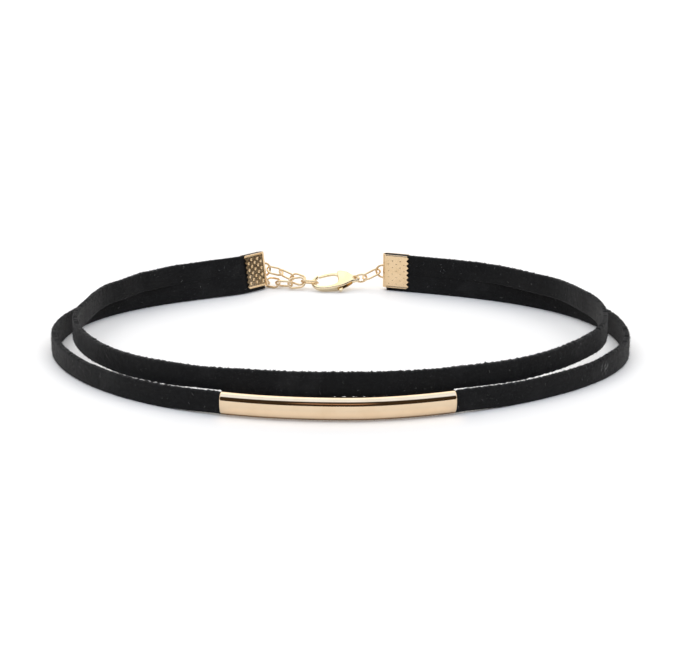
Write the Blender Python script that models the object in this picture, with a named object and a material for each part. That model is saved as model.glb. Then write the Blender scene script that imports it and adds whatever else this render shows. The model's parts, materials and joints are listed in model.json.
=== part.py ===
# Choker necklace: two flat straps stacked at the back, a tube bar threaded on the lower one,
# a ribbon clamp on each end, an extender chain and a lobster clasp.
# Metres, +Z up. It stands on the straps' edges: the bar is at the front (-Y), the clasp at
# the back (+Y), and the origin lies on the floor under the middle of the whole necklace.

import math

import bmesh
import bpy
from mathutils import Matrix, Vector

mm = 0.001

# Straps
strap_width = 4.6 * mm
strap_thickness = 1.3 * mm
strap_edge_round = 0.35 * mm
strap_stack_gap = 0.1 * mm        # between the two straps where they lie one on the other
strap_stations = 104
turn_reach = 0.4 * mm             # to each side, over which the run's direction is read

# Ring of the lower strap, to the middle of its thickness
ring_half_width = 65.2 * mm
ring_front_depth = 49.1 * mm
ring_step = 5.0 * mm              # how far the upper strap stands inside the lower one
ring_curve_steps = 60

# Tube bar
bar_length = 49.9 * mm
bar_wall = 0.2 * mm
bar_height_clearance = 0.17 * mm  # above and below the strap inside
bar_depth_clearance = 0.44 * mm   # in front of and behind the strap inside
bar_shift = 0.3 * mm              # its middle, left of the ring's foremost point
bar_roundness = 2.3               # 2 is an ellipse, more is squarer
bar_lead_length = 14.0 * mm       # over which the strap rises to the height of the bar
bar_lead_start = 1.4 * mm         # level stretch of strap at each end of the bar
bar_stations = 18
bar_sides = 28

# Ribbon clamps
clamp_length = 7.0 * mm           # tooth tips to the outside of the fold
clamp_height = 9.0 * mm
clamp_raise = 0.2 * mm            # its middle, above the middle of the straps
clamp_plate = 0.34 * mm
clamp_grip_clearance = 0.15 * mm
clamp_tooth_length = 0.6 * mm
clamp_teeth = 7
clamp_columns = 6
clamp_fold_steps = 6
clamp_dimple_depth = 0.14 * mm

# Loop on the fold of each clamp
loop_reach = 2.05 * mm
loop_half_height = 1.85 * mm
loop_wire = 0.27 * mm
loop_steps = 10

# Chain links, the ring and the right link
link_length = 4.7 * mm
link_width = 3.1 * mm
link_wire = 0.27 * mm
link_play = 0.3 * mm              # free play where one wire hangs on the next
right_link_length = 5.2 * mm
jump_ring_radius = 1.4 * mm
jump_ring_wire = 0.27 * mm
wire_sides = 6
round_steps = 16

# Lobster clasp
clasp_half_length = 6.1 * mm
clasp_half_width = 2.75 * mm
clasp_thickness = 2.1 * mm
clasp_edge_round = 0.3 * mm
clasp_nose_width = 0.95 * mm
claw_play = 0.42 * mm             # between the claw's nose and the link that it holds
clasp_eye_radius = 1.15 * mm
clasp_eye_hole = 0.62 * mm
clasp_slot_width = 0.95 * mm
clasp_slot_start = 0.35 * mm      # along the clasp from its middle
clasp_slot_end = 4.1 * mm
clasp_lean = 34.0                 # degrees that the clasp's flat side is raised at the back
pivot_along = 1.9 * mm
pivot_across = 0.35 * mm
pivot_radius = 0.36 * mm
pivot_clearance = 0.08 * mm
lever_side_clearance = 0.16 * mm
lever_edge_round = 0.12 * mm
pin_reach = 0.8                   # the pin's half length, as a share of the half thickness
edge_draw = 0.8                   # how far rounded edges are drawn in, as a share of the rounding
edge_limit = 0.6                  # the most rounding, as a share of the half thickness
pivot_sides = 14

# Degrees below the middle of each clamp's loop at which the next link hangs
left_hang = 14.0
right_hang = 1.0

# Where the left clamp's fold stands, in plan from the ring's middle, and its heading
left_fold_x = -18.35 * mm
left_fold_y = 51.9 * mm
left_heading = 43.0
right_heading = -19.0
side_crest_left = 0.8 * mm
side_crest_right = -0.6 * mm
front_crest = 1.7 * mm

# Handle lengths of the ring's four curves, as shares of the ring's half width
ring_handles = {
    "left_clamp": 0.12,
    "left_side_back": 0.54,
    "left_side_front": 0.225,
    "front_left": 0.765,
    "front_right": 0.350,
    "right_side_front": 0.425,
    "right_side_back": 0.530,
    "right_clamp": 0.255,
}

# How the upper strap leaves the lower one. Along: share of the run from the left end.
# Inset: share of the ring step. Height: share of a strap's width and the stack gap.
# Lean: degrees that both straps lean out.
upper_run = (
    {"along": 0.00, "inset": 0.00, "height": 1.00, "lean": 10.0},
    {"along": 0.03, "inset": 0.00, "height": 1.00, "lean": 10.0},
    {"along": 0.07, "inset": 0.02, "height": 1.00, "lean": 4.0},
    {"along": 0.10, "inset": 0.22, "height": 0.99, "lean": 1.0},
    {"along": 0.13, "inset": 0.47, "height": 0.91, "lean": 0.0},
    {"along": 0.19, "inset": 0.92, "height": 0.75, "lean": 0.0},
    {"along": 0.26, "inset": 1.00, "height": 0.64, "lean": 0.0},
    {"along": 0.32, "inset": 0.85, "height": 0.73, "lean": 0.0},
    {"along": 0.38, "inset": 0.62, "height": 0.92, "lean": 0.0},
    {"along": 0.44, "inset": 0.44, "height": 1.08, "lean": 0.0},
    {"along": 0.50, "inset": 0.36, "height": 1.155, "lean": 0.0},
    {"along": 0.56, "inset": 0.44, "height": 1.08, "lean": 0.0},
    {"along": 0.63, "inset": 0.62, "height": 0.91, "lean": 0.0},
    {"along": 0.70, "inset": 0.85, "height": 0.91, "lean": 0.0},
    {"along": 0.75, "inset": 1.00, "height": 0.98, "lean": 0.0},
    {"along": 0.81, "inset": 0.97, "height": 1.00, "lean": 0.0},
    {"along": 0.87, "inset": 0.52, "height": 0.98, "lean": 0.0},
    {"along": 0.93, "inset": 0.04, "height": 1.00, "lean": 0.0},
    {"along": 1.00, "inset": 0.00, "height": 1.00, "lean": 0.0},
)

# Each link's own heading in plan, its rise and its roll, in degrees. The chain starts at
# the left clamp's loop. The clasp holds its last link, and the tail starts in that link's
# first end, beside the link before it.
chain_links = (
    {"heading": 14.0, "rise": -16.0, "roll": -62.0},
    {"heading": -25.0, "rise": -17.0, "roll": 34.0},
    {"heading": -32.0, "rise": -8.5, "roll": -42.0},
)
hooked_link = (
    {"heading": -10.0, "rise": -2.0, "roll": 62.0},
)
tail_links = (
    {"heading": 176.0, "rise": -9.0, "roll": 32.0},
    {"heading": 160.0, "rise": -5.0, "roll": -48.0},
    {"heading": 145.0, "rise": 0.0, "roll": 45.0},
    {"heading": 136.0, "rise": 0.0, "roll": -45.0},
    {"heading": 166.0, "rise": 0.0, "roll": 45.0},
    {"heading": 196.0, "rise": 0.0, "roll": -45.0},
    {"heading": 208.0, "rise": 0.0, "roll": 45.0},
)
link_side_step = 0.4 * mm         # from a link's middle to each of two wires that share its end
clasp_heading = 1.0
clasp_rise = 6.0
right_link_heading = 19.0
right_link_roll = -78.0
right_link_trials = 12            # steps by which its rise is found

# Outline of the clasp's body and claw, in shares of its half length and half width,
# anticlockwise from the corner where the lever's gate comes out
claw_outline = (
    {"along": 0.27, "across": 0.95},
    {"along": 0.12, "across": 0.92},
    {"along": 0.09, "across": 0.55},
    {"along": 0.11, "across": 0.05},
    {"along": 0.06, "across": -0.45},
    {"along": -0.20, "across": -0.62},
    {"along": -0.50, "across": -0.60},
    {"along": -0.74, "across": -0.42},
    {"along": -0.84, "across": -0.05},
    {"along": -0.80, "across": 0.28},
    {"along": -0.70, "across": 0.50},
    {"along": -0.69, "across": 0.74},
    {"along": -0.80, "across": 0.66},
    {"along": -0.94, "across": 0.38},
    {"along": -1.00, "across": 0.00},
    {"along": -0.95, "across": -0.40},
    {"along": -0.78, "across": -0.78},
    {"along": -0.48, "across": -0.98},
    {"along": -0.10, "across": -1.00},
    {"along": 0.22, "across": -0.92},
    {"along": 0.48, "across": -0.68},
    {"along": 0.70, "across": -0.40},
    {"along": 0.86, "across": -0.37},
    {"along": 0.97, "across": -0.20},
    {"along": 1.00, "across": 0.00},
    {"along": 0.97, "across": 0.20},
    {"along": 0.86, "across": 0.37},
    {"along": 0.70, "across": 0.44},
    {"along": 0.50, "across": 0.78},
)

# Outline of the lever, in the same shares: gate, hub and thumb tab
lever_outline = (
    {"along": 0.20, "across": 0.86},
    {"along": 0.02, "across": 0.92},
    {"along": -0.28, "across": 0.90},
    {"along": -0.52, "across": 0.80},
    {"along": -0.635, "across": 0.66},
    {"along": -0.62, "across": 0.50},
    {"along": -0.48, "across": 0.55},
    {"along": -0.24, "across": 0.64},
    {"along": 0.00, "across": 0.62},
    {"along": 0.15, "across": 0.30},
    {"along": 0.17, "across": -0.10},
    {"along": 0.13, "across": -0.60},
    {"along": 0.10, "across": -1.20},
    {"along": 0.24, "across": -1.24},
    {"along": 0.29, "across": -0.70},
    {"along": 0.38, "across": -0.22},
    {"along": 0.46, "across": 0.13},
    {"along": 0.42, "across": 0.52},
    {"along": 0.32, "across": 0.74},
)

# Thickness of the clasp along its length, as a share of its greatest
clasp_swell = (
    {"along": -1.00, "thick": 0.50},
    {"along": -0.40, "thick": 0.78},
    {"along": 0.15, "thick": 1.00},
    {"along": 0.55, "thick": 0.92},
    {"along": 0.80, "thick": 0.46},
    {"along": 1.00, "thick": 0.42},
)

finishes = {
    "black_velvet": {"colour": (0.012, 0.012, 0.013), "metallic": 0.0, "roughness": 0.95},
    "mirror_gold": {"colour": (0.86, 0.66, 0.42), "metallic": 1.0, "roughness": 0.08},
    "pale_gold": {"colour": (0.83, 0.66, 0.40), "metallic": 1.0, "roughness": 0.28},
    "clasp_gold": {"colour": (0.85, 0.70, 0.45), "metallic": 1.0, "roughness": 0.20},
}

stack_height = 2 * strap_width + strap_stack_gap
bar_lift = bar_wall + bar_height_clearance
clamp_inside = strap_thickness + 2 * clamp_grip_clearance
fold_radius = clamp_inside / 2 + clamp_plate / 2
wire_step = 2 * link_wire + link_play


# Numbers and curves

def smooth(share):
    share = min(max(share, 0.0), 1.0)
    return share * share * (3 - 2 * share)


def read_table(rows, column, place, key="along"):
    # eased reading between the rows of a table
    for low, high in zip(rows, rows[1:]):
        if place <= high[key]:
            share = (place - low[key]) / (high[key] - low[key])
            return low[column] + (high[column] - low[column]) * smooth(share)
    return rows[-1][column]


def bezier(start, first, second, end, steps):
    points = []
    for step in range(steps + 1):
        t = step / steps
        s = 1 - t
        points.append(s ** 3 * start + 3 * s * s * t * first + 3 * s * t * t * second + t ** 3 * end)
    return points


def closed_spline(points, steps):
    # smooth closed curve through the points
    count = len(points)
    curve = []
    for index in range(count):
        a, b, c, d = (points[(index + shift) % count] for shift in (-1, 0, 1, 2))
        for step in range(steps):
            t = step / steps
            curve.append(0.5 * (2 * b + (c - a) * t + (2 * a - 5 * b + 4 * c - d) * t * t
                                + (3 * b - a - 3 * c + d) * t ** 3))
    return curve


def heading_vector(heading, rise=0.0):
    turn = math.radians(heading)
    lift = math.radians(rise)
    return Vector((math.cos(turn) * math.cos(lift), math.sin(turn) * math.cos(lift), math.sin(lift)))


class Run:
    """A plan curve that can be read by the distance along it."""

    def __init__(self, points):
        self.points = points
        self.marks = [0.0]
        for before, after in zip(points, points[1:]):
            self.marks.append(self.marks[-1] + (after - before).length)
        self.length = self.marks[-1]

    def at(self, distance):
        distance = min(max(distance, 0.0), self.length)
        for index in range(1, len(self.marks)):
            if distance <= self.marks[index]:
                span = self.marks[index] - self.marks[index - 1]
                share = (distance - self.marks[index - 1]) / span
                return self.points[index - 1].lerp(self.points[index], share)
        return self.points[-1].copy()

    def outward(self, distance):
        ahead = self.at(distance + turn_reach) - self.at(distance - turn_reach)
        return Vector((ahead.y, -ahead.x, 0)).normalized()


# Meshes and objects

def make_material(name):
    finish = finishes[name]
    material = bpy.data.materials.new(name)
    material.use_nodes = True
    shader = material.node_tree.nodes["Principled BSDF"]
    shader.inputs["Base Color"].default_value = (*finish["colour"], 1.0)
    shader.inputs["Metallic"].default_value = finish["metallic"]
    shader.inputs["Roughness"].default_value = finish["roughness"]
    material.diffuse_color = (*finish["colour"], 1.0)
    return material


def make_object(name, shape, material, smooth_angle=40.0):
    bmesh.ops.recalc_face_normals(shape, faces=shape.faces[:])
    mesh = bpy.data.meshes.new(name)
    shape.to_mesh(mesh)
    shape.free()
    piece = bpy.data.objects.new(name, mesh)
    bpy.context.scene.collection.objects.link(piece)
    if material:
        mesh.materials.append(material)
    mesh.shade_smooth()
    mesh.set_sharp_from_angle(angle=math.radians(smooth_angle))
    return piece


def make_guide(name, shape):
    guide = make_object(name, shape, None)
    guide.hide_render = True
    guide.display_type = "WIRE"
    return guide


def combine(piece, guide, operation):
    boolean = piece.modifiers.new(guide.name, "BOOLEAN")
    boolean.operation = operation
    boolean.solver = "EXACT"
    boolean.object = guide


def loft(rings, closed=False):
    # skin over rings of points, with a cap at each end unless it closes on itself
    shape = bmesh.new()
    made = [[shape.verts.new(point) for point in ring] for ring in rings]
    pairs = list(zip(made, made[1:]))
    if closed:
        pairs.append((made[-1], made[0]))
    size = len(made[0])
    for here, there in pairs:
        for index in range(size):
            after = (index + 1) % size
            shape.faces.new((here[index], here[after], there[after], there[index]))
    if not closed:
        shape.faces.new(list(reversed(made[0])))
        shape.faces.new(made[-1])
    return shape


def wire_rings(points, across, radius, sides, closed):
    # rings round a wire that lies in a plane: across is the plane's normal
    rings = []
    count = len(points)
    for index, point in enumerate(points):
        before = points[(index - 1) % count] if closed or index > 0 else point
        after = points[(index + 1) % count] if closed or index < count - 1 else point
        ahead = (after - before).normalized()
        side = across.cross(ahead).normalized()
        ring = []
        for step in range(sides):
            turn = 2 * math.pi * (step + 0.5) / sides
            ring.append(point + radius * (math.cos(turn) * side + math.sin(turn) * across))
        rings.append(ring)
    return rings


# Frames: where a clamp, link or clasp stands, with its own three directions

def frame_matrix(origin, ahead, up_hint):
    ahead = ahead.normalized()
    side = up_hint.cross(ahead).normalized()
    up = ahead.cross(side)
    matrix = Matrix((ahead, side, up)).transposed().to_4x4()
    matrix.translation = origin
    return matrix


def clamp_frame(fold_point, ahead, outward, lean):
    # x runs from the strap to the chain, y to the outside, z up the leaning strap
    tilt = math.radians(lean)
    up = Vector((0, 0, math.cos(tilt))) + outward * math.sin(tilt)
    side = up.cross(ahead).normalized()
    base = fold_point + Vector((0, 0, strap_thickness / 2 * math.sin(tilt)))
    matrix = Matrix((ahead, side, up)).transposed().to_4x4()
    matrix.translation = base + up * (stack_height / 2)
    return matrix


def loop_hold(frame, hang):
    # the middle of the loop's wire where the next link hangs
    turn = math.radians(hang)
    reach = loop_reach - loop_wire + clamp_plate / 2
    return frame @ Vector((reach * math.cos(turn) - clamp_plate / 2, 0,
                           -(loop_half_height - loop_wire) * math.sin(turn)))


# The chain, walked link by link from the left clamp's loop

def walk(wire, before, rows, length):
    # each link's first wire lies a step back from the wire that it hangs on, along a
    # direction halfway between the two pieces
    places = []
    for row in rows:
        ahead = heading_vector(row["heading"], row["rise"])
        first = wire - wire_step * (before + ahead).normalized()
        last = first + (length - 2 * link_wire) * ahead
        places.append({"first": first, "last": last, "ahead": ahead, "roll": row["roll"]})
        wire, before = last, ahead
    return places


def link_frame(place):
    middle = (place["first"] + place["last"]) / 2
    flat_side = place["ahead"].cross(Vector((0, 0, 1))).normalized()
    upright = flat_side.cross(place["ahead"])
    roll = math.radians(place["roll"])
    width = math.cos(roll) * upright + math.sin(roll) * flat_side
    return frame_matrix(middle, place["ahead"], width.cross(place["ahead"]) * -1)


def make_link(name, place, length, material):
    frame = link_frame(place)
    half_length = length / 2 - link_wire
    half_width = link_width / 2 - link_wire
    straight = half_length - half_width
    points = []
    for step in range(round_steps):
        turn = 2 * math.pi * (step + 0.5) / round_steps
        shift = math.copysign(straight, math.cos(turn))
        points.append(frame @ Vector((shift + half_width * math.cos(turn), half_width * math.sin(turn), 0)))
    across = (frame.to_3x3() @ Vector((0, 0, 1))).normalized()
    return make_object(name, loft(wire_rings(points, across, link_wire, wire_sides, True), True), material)


# Straps

def lower_plan(left_frame, right_frame):
    # the plan curve of both straps where they are stacked, and of the lower one all round
    def jaw(frame, distance):
        point = frame @ Vector((-distance, 0, -stack_height / 2))
        return Vector((point.x, point.y, 0))

    stop = fold_radius + clamp_plate / 2
    left_end, left_jaw = jaw(left_frame, stop), jaw(left_frame, clamp_length)
    right_end, right_jaw = jaw(right_frame, stop), jaw(right_frame, clamp_length)
    left_side = Vector((-ring_half_width, side_crest_left, 0))
    right_side = Vector((ring_half_width, side_crest_right, 0))
    front = Vector((front_crest, -ring_front_depth, 0))
    handle = {name: share * ring_half_width for name, share in ring_handles.items()}
    back, right = Vector((0, 1, 0)), Vector((1, 0, 0))
    leaving = (left_jaw - left_end).normalized()
    arriving = (right_jaw - right_end).normalized()
    steps = ring_curve_steps
    points = [left_end]
    points += bezier(left_jaw, left_jaw + leaving * handle["left_clamp"],
                     left_side + back * handle["left_side_back"], left_side, steps)
    points += bezier(left_side, left_side - back * handle["left_side_front"],
                     front - right * handle["front_left"], front, steps)[1:]
    points += bezier(front, front + right * handle["front_right"],
                     right_side - back * handle["right_side_front"], right_side, steps)[1:]
    points += bezier(right_side, right_side + back * handle["right_side_back"],
                     right_jaw + arriving * handle["right_clamp"], right_jaw, steps)[1:]
    points.append(right_end)
    return Run(points)


def bar_middle(run):
    front = min(range(len(run.points)), key=lambda index: run.points[index].y)
    return run.marks[front] - front_crest - bar_shift


def lower_height(run, distance):
    # the strap rises to run through the middle of the bar
    away = abs(distance - bar_middle(run)) - bar_length / 2
    return bar_lift * smooth(1 - (away - bar_lead_start) / bar_lead_length)


def strap_rings(bases, outwards, leans):
    half, corner = strap_thickness / 2, strap_edge_round
    quarter = ((half - corner, strap_width), (half, strap_width - corner))
    right = [(across, strap_width - height) for across, height in quarter] + list(quarter[::-1])
    outline = right + [(-across, height) for across, height in reversed(right)]
    rings = []
    for base, outward, lean in zip(bases, outwards, leans):
        tilt = math.radians(lean)
        up = Vector((0, 0, math.cos(tilt))) + outward * math.sin(tilt)
        flat = outward * math.cos(tilt) - Vector((0, 0, math.sin(tilt)))
        foot = base + Vector((0, 0, half * math.sin(tilt)))
        rings.append([foot + flat * across + up * height for across, height in outline])
    return rings


def make_straps(run, material):
    lower, upper, outwards, leans = [], [], [], []
    for station in range(strap_stations + 1):
        along = station / strap_stations
        distance = along * run.length
        outward = run.outward(distance)
        lean = read_table(upper_run, "lean", along)
        tilt = math.radians(lean)
        up = Vector((0, 0, math.cos(tilt))) + outward * math.sin(tilt)
        base = run.at(distance) + Vector((0, 0, lower_height(run, distance)))
        inset = ring_step * read_table(upper_run, "inset", along)
        height = (strap_width + strap_stack_gap) * read_table(upper_run, "height", along)
        lower.append(base)
        upper.append(run.at(distance) - outward * inset + up * height)
        outwards.append(outward)
        leans.append(lean)
    make_object("lower_strap", loft(strap_rings(lower, outwards, leans)), material)
    make_object("upper_strap", loft(strap_rings(upper, outwards, leans)), material)


# Bar

def bar_outline(half_depth, half_height):
    # flattened round tube: an oval that is a little squarer than an ellipse
    points = []
    for step in range(bar_sides):
        turn = 2 * math.pi * step / bar_sides
        across, rise = math.cos(turn), math.sin(turn)
        points.append((math.copysign(half_depth * abs(across) ** (2 / bar_roundness), across),
                       math.copysign(half_height * abs(rise) ** (2 / bar_roundness), rise)))
    return points


def make_bar(run, material):
    half_depth = strap_thickness / 2 + bar_depth_clearance + bar_wall
    half_height = strap_width / 2 + bar_height_clearance + bar_wall
    outer_line = bar_outline(half_depth, half_height)
    inner_line = bar_outline(half_depth - bar_wall, half_height - bar_wall)
    middle = bar_middle(run)
    shape = bmesh.new()
    rings = []
    for station in range(bar_stations + 1):
        distance = middle + bar_length * (station / bar_stations - 0.5)
        outward = run.outward(distance)
        centre = run.at(distance) + Vector((0, 0, half_height))
        for line in (outer_line, inner_line):
            rings.append([shape.verts.new(centre + outward * x + Vector((0, 0, z))) for x, z in line])
    size = len(outer_line)

    def skin(here, there):
        for index in range(size):
            after = (index + 1) % size
            shape.faces.new((here[index], here[after], there[after], there[index]))

    for station in range(bar_stations):
        skin(rings[2 * station], rings[2 * station + 2])
        skin(rings[2 * station + 3], rings[2 * station + 1])
    skin(rings[1], rings[0])
    skin(rings[-2], rings[-1])
    return make_object("tube_bar", shape, material, 50.0)


# Clamps

def clamp_stations():
    # the plate's middle line in plan and its outward side, from one toothed edge to the other
    front = [(-(clamp_length - clamp_tooth_length) + column * (clamp_length - clamp_tooth_length
              - fold_radius - clamp_plate / 2) / clamp_columns, -fold_radius, 0, -1)
             for column in range(clamp_columns)]
    middle = -(fold_radius + clamp_plate / 2)
    fold = []
    for step in range(clamp_fold_steps + 1):
        turn = math.pi * (step / clamp_fold_steps - 0.5)
        fold.append((middle + fold_radius * math.cos(turn), fold_radius * math.sin(turn),
                     math.cos(turn), math.sin(turn)))
    rear = [(x, -y, nx, -ny) for x, y, nx, ny in reversed(front)]
    return front + fold + rear


def make_clamp(name, frame, material):
    stations = clamp_stations()
    rows = 2 * clamp_teeth
    shape = bmesh.new()
    sheets = []
    for side in (1, -1):
        sheet = []
        for number, (x, y, nx, ny) in enumerate(stations):
            at_edge = number in (0, len(stations) - 1)
            column = []
            for row in range(rows + 1):
                tooth = clamp_tooth_length if at_edge and row % 2 else 0.0
                height = clamp_raise + clamp_height * (row / rows - 0.5)
                offset = side * clamp_plate / 2
                corner = Vector((x - tooth + nx * offset, y + ny * offset, height))
                column.append(shape.verts.new(frame @ corner))
            sheet.append(column)
        sheets.append(sheet)
    outer, inner = sheets
    last = len(stations) - 1
    dimples = []
    for i in range(last):
        for j in range(rows):
            face = shape.faces.new((outer[i][j], outer[i + 1][j], outer[i + 1][j + 1], outer[i][j + 1]))
            shape.faces.new((inner[i][j], inner[i][j + 1], inner[i + 1][j + 1], inner[i + 1][j]))
            column = i if i < clamp_columns else last - 1 - i
            on_flap = 0 < column < clamp_columns
            if on_flap and 0 < j < rows - 1 and (column + j) % 2:
                dimples.append(face)
        for j, order in ((0, 1), (rows, -1)):
            strip = (outer[i][j], inner[i][j], inner[i + 1][j], outer[i + 1][j])
            shape.faces.new(strip[::order])
    for j in range(rows):
        shape.faces.new((outer[0][j], outer[0][j + 1], inner[0][j + 1], inner[0][j]))
        shape.faces.new((outer[last][j + 1], outer[last][j], inner[last][j], inner[last][j + 1]))
    shape.normal_update()
    inward = {face: -face.normal.copy() for face in dimples}
    for face in dimples:
        push = inward[face]
        centre = bmesh.ops.poke(shape, faces=[face])["verts"][0]
        centre.co += push * clamp_dimple_depth
    clamp = make_object(name, shape, material, 30.0)

    points = []
    for step in range(loop_steps + 1):
        turn = math.pi * (step / loop_steps - 0.5)
        reach = loop_reach - loop_wire + clamp_plate / 2
        points.append(frame @ Vector((reach * math.cos(turn) - clamp_plate / 2, 0,
                                      (loop_half_height - loop_wire) * math.sin(turn))))
    across = (frame.to_3x3() @ Vector((0, 1, 0))).normalized()
    guide = make_guide(name + "_loop_guide", loft(wire_rings(points, across, loop_wire, wire_sides, False)))
    combine(clamp, guide, "UNION")
    return clamp


# Clasp

def outline_points(table):
    corners = [Vector((row["along"] * clasp_half_length, row["across"] * clasp_half_width, 0))
               for row in table]
    return closed_spline(corners, 2)


def slab(points, frame, half_thickness, rounding):
    # rounded plate over a closed outline: its edges are drawn in at both faces
    count = len(points)
    turning = sum(points[i].x * points[(i + 1) % count].y - points[(i + 1) % count].x * points[i].y
                  for i in range(count))
    facing = 1 if turning > 0 else -1
    rings = []
    for level, draw in ((-1, 1), (-1, 0), (1, 0), (1, 1)):
        ring = []
        for index, point in enumerate(points):
            ahead = points[(index + 1) % count] - points[index - 1]
            inward = Vector((-ahead.y, ahead.x, 0)).normalized() * facing
            half = half_thickness(point.x)
            rounded = min(rounding, half * edge_limit)
            height = level * (half - (0 if draw else rounded))
            place = point + inward * (rounded * edge_draw if draw else 0)
            ring.append(frame @ Vector((place.x, place.y, height)))
        rings.append(ring)
    return loft(rings)


def box_shape(frame, low, high):
    shape = bmesh.new()
    bmesh.ops.create_cube(shape, size=1.0)
    for vert in shape.verts:
        local = Vector([low[k] + (vert.co[k] + 0.5) * (high[k] - low[k]) for k in range(3)])
        vert.co = frame @ local
    return shape


def rod_shape(frame, x, y, radius, half_length):
    rings = []
    for end in (-half_length, half_length):
        ring = []
        for step in range(pivot_sides):
            turn = 2 * math.pi * step / pivot_sides
            ring.append(frame @ Vector((x + radius * math.cos(turn), y + radius * math.sin(turn), end)))
        rings.append(ring)
    return loft(rings)


def clasp_half_thickness(x):
    return clasp_thickness / 2 * read_table(clasp_swell, "thick", x / clasp_half_length)


def make_clasp(frame, material):
    body = make_object("clasp_body", slab(outline_points(claw_outline), frame, clasp_half_thickness,
                                          clasp_edge_round), material)
    beyond = 2 * clasp_half_width
    slot_low = (clasp_slot_start, -beyond, -clasp_slot_width / 2)
    slot_high = (clasp_slot_end, beyond, clasp_slot_width / 2)
    slot = make_guide("clasp_slot_guide", box_shape(frame, slot_low, slot_high))
    eye = make_guide("clasp_eye_guide", rod_shape(frame, clasp_half_length - clasp_eye_radius, 0,
                                                  clasp_eye_hole, clasp_thickness))
    pin = make_guide("clasp_pin_guide", rod_shape(frame, pivot_along, pivot_across, pivot_radius,
                                                  clasp_thickness / 2 * pin_reach))
    combine(body, slot, "DIFFERENCE")
    combine(body, eye, "DIFFERENCE")
    combine(body, pin, "UNION")

    half = clasp_slot_width / 2 - lever_side_clearance
    hinge = frame @ Vector((pivot_along, pivot_across, 0))
    local = Matrix.Translation(-hinge) @ frame
    lever = make_object("clasp_lever", slab(outline_points(lever_outline), local, lambda x: half,
                                           lever_edge_round), material)
    hole = make_guide("lever_hole_guide", rod_shape(local, pivot_along, pivot_across,
                                                    pivot_radius + pivot_clearance, clasp_thickness))
    combine(lever, hole, "DIFFERENCE")
    for piece in (lever, hole):
        piece.location = hinge
    return hinge


def make_necklace():
    velvet = make_material("black_velvet")
    mirror = make_material("mirror_gold")
    pale = make_material("pale_gold")
    cast = make_material("clasp_gold")

    left_ahead = heading_vector(left_heading)
    left_out = Vector((-left_ahead.y, left_ahead.x, 0))
    left = clamp_frame(Vector((left_fold_x, left_fold_y, 0)), left_ahead, left_out, upper_run[0]["lean"])
    droop = math.radians(left_hang)
    hanging = left.to_3x3() @ Vector((math.cos(droop), 0, -math.sin(droop)))
    chain = walk(loop_hold(left, left_hang), hanging, chain_links, link_length)
    aside = Vector((0, -link_side_step, 0))
    chain += walk(chain[-1]["last"] + aside, chain[-1]["ahead"], hooked_link, link_length)
    hooked = chain[-1]
    tail = walk(hooked["first"] + aside, -hooked["ahead"], tail_links, link_length)

    # The claw's nose hangs in the hooked link
    ahead = heading_vector(clasp_heading, clasp_rise)
    flat = Vector((0, math.cos(math.radians(clasp_lean)), math.sin(math.radians(clasp_lean))))
    nose = hooked["last"] - ahead * (link_wire + claw_play + clasp_nose_width / 2)
    clasp = frame_matrix(nose + ahead * (clasp_half_length - clasp_nose_width / 2), ahead, ahead.cross(flat))

    # The jump ring hangs in the eye, and the right link in the ring
    eye_wall = clasp_half_length - (clasp_eye_radius - clasp_eye_hole) / 2
    first_wire = eye_wall - (clasp_eye_radius - clasp_eye_hole) / 2 - jump_ring_wire - link_play
    ring_centre = clasp @ Vector((first_wire + jump_ring_radius, 0, 0))
    ring_far_wire = ring_centre + ahead * jump_ring_radius
    # It rises until it meets the right clamp's loop, and that clamp stands where it ends
    right_ahead = -heading_vector(right_heading)
    right_out = Vector((right_ahead.y, -right_ahead.x, 0))
    hang = loop_hold(Matrix.Identity(4), right_hang)
    row = {"heading": right_link_heading, "rise": 0.0, "roll": right_link_roll}
    for _ in range(right_link_trials):
        right_place = walk(ring_far_wire, ahead, [row], right_link_length)[0]
        far_wire = right_place["last"] - wire_step * (right_place["ahead"] - right_ahead).normalized()
        climb = stack_height / 2 + hang.z - far_wire.z
        row["rise"] += math.degrees(math.atan(climb / right_link_length))
    right_fold = far_wire - right_ahead * hang.x
    right_foot = Vector((right_fold.x, right_fold.y, 0))
    right = clamp_frame(right_foot, right_ahead, right_out, upper_run[-1]["lean"])

    run = lower_plan(left, right)
    make_straps(run, velvet)
    make_bar(run, mirror)
    make_clamp("left_clamp", left, pale)
    make_clamp("right_clamp", right, pale)
    for number, place in enumerate(chain):
        make_link(f"chain_link_{number + 1}", place, link_length, pale)
    for number, place in enumerate(tail):
        make_link(f"tail_link_{number + 1}", place, link_length, pale)
    make_link("right_link", right_place, right_link_length, pale)
    hinge = make_clasp(clasp, cast)

    ring_across = (clasp.to_3x3() @ Vector((0, 1, 0))).normalized()
    ring_up = (clasp.to_3x3() @ Vector((0, 0, 1))).normalized()
    points = []
    for step in range(round_steps):
        turn = 2 * math.pi * (step + 0.5) / round_steps
        points.append(ring_centre + jump_ring_radius * (math.cos(turn) * ahead + math.sin(turn) * ring_up))
    ring = loft(wire_rings(points, ring_across, jump_ring_wire, wire_sides, True), True)
    make_object("clasp_ring", ring, pale)
    print("strap length", round(run.length * 1000, 1), "mm; right fold", right.translation, "hinge", hinge)
    print("lever axis", clasp.to_3x3() @ Vector((0, 0, 1)))


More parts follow.
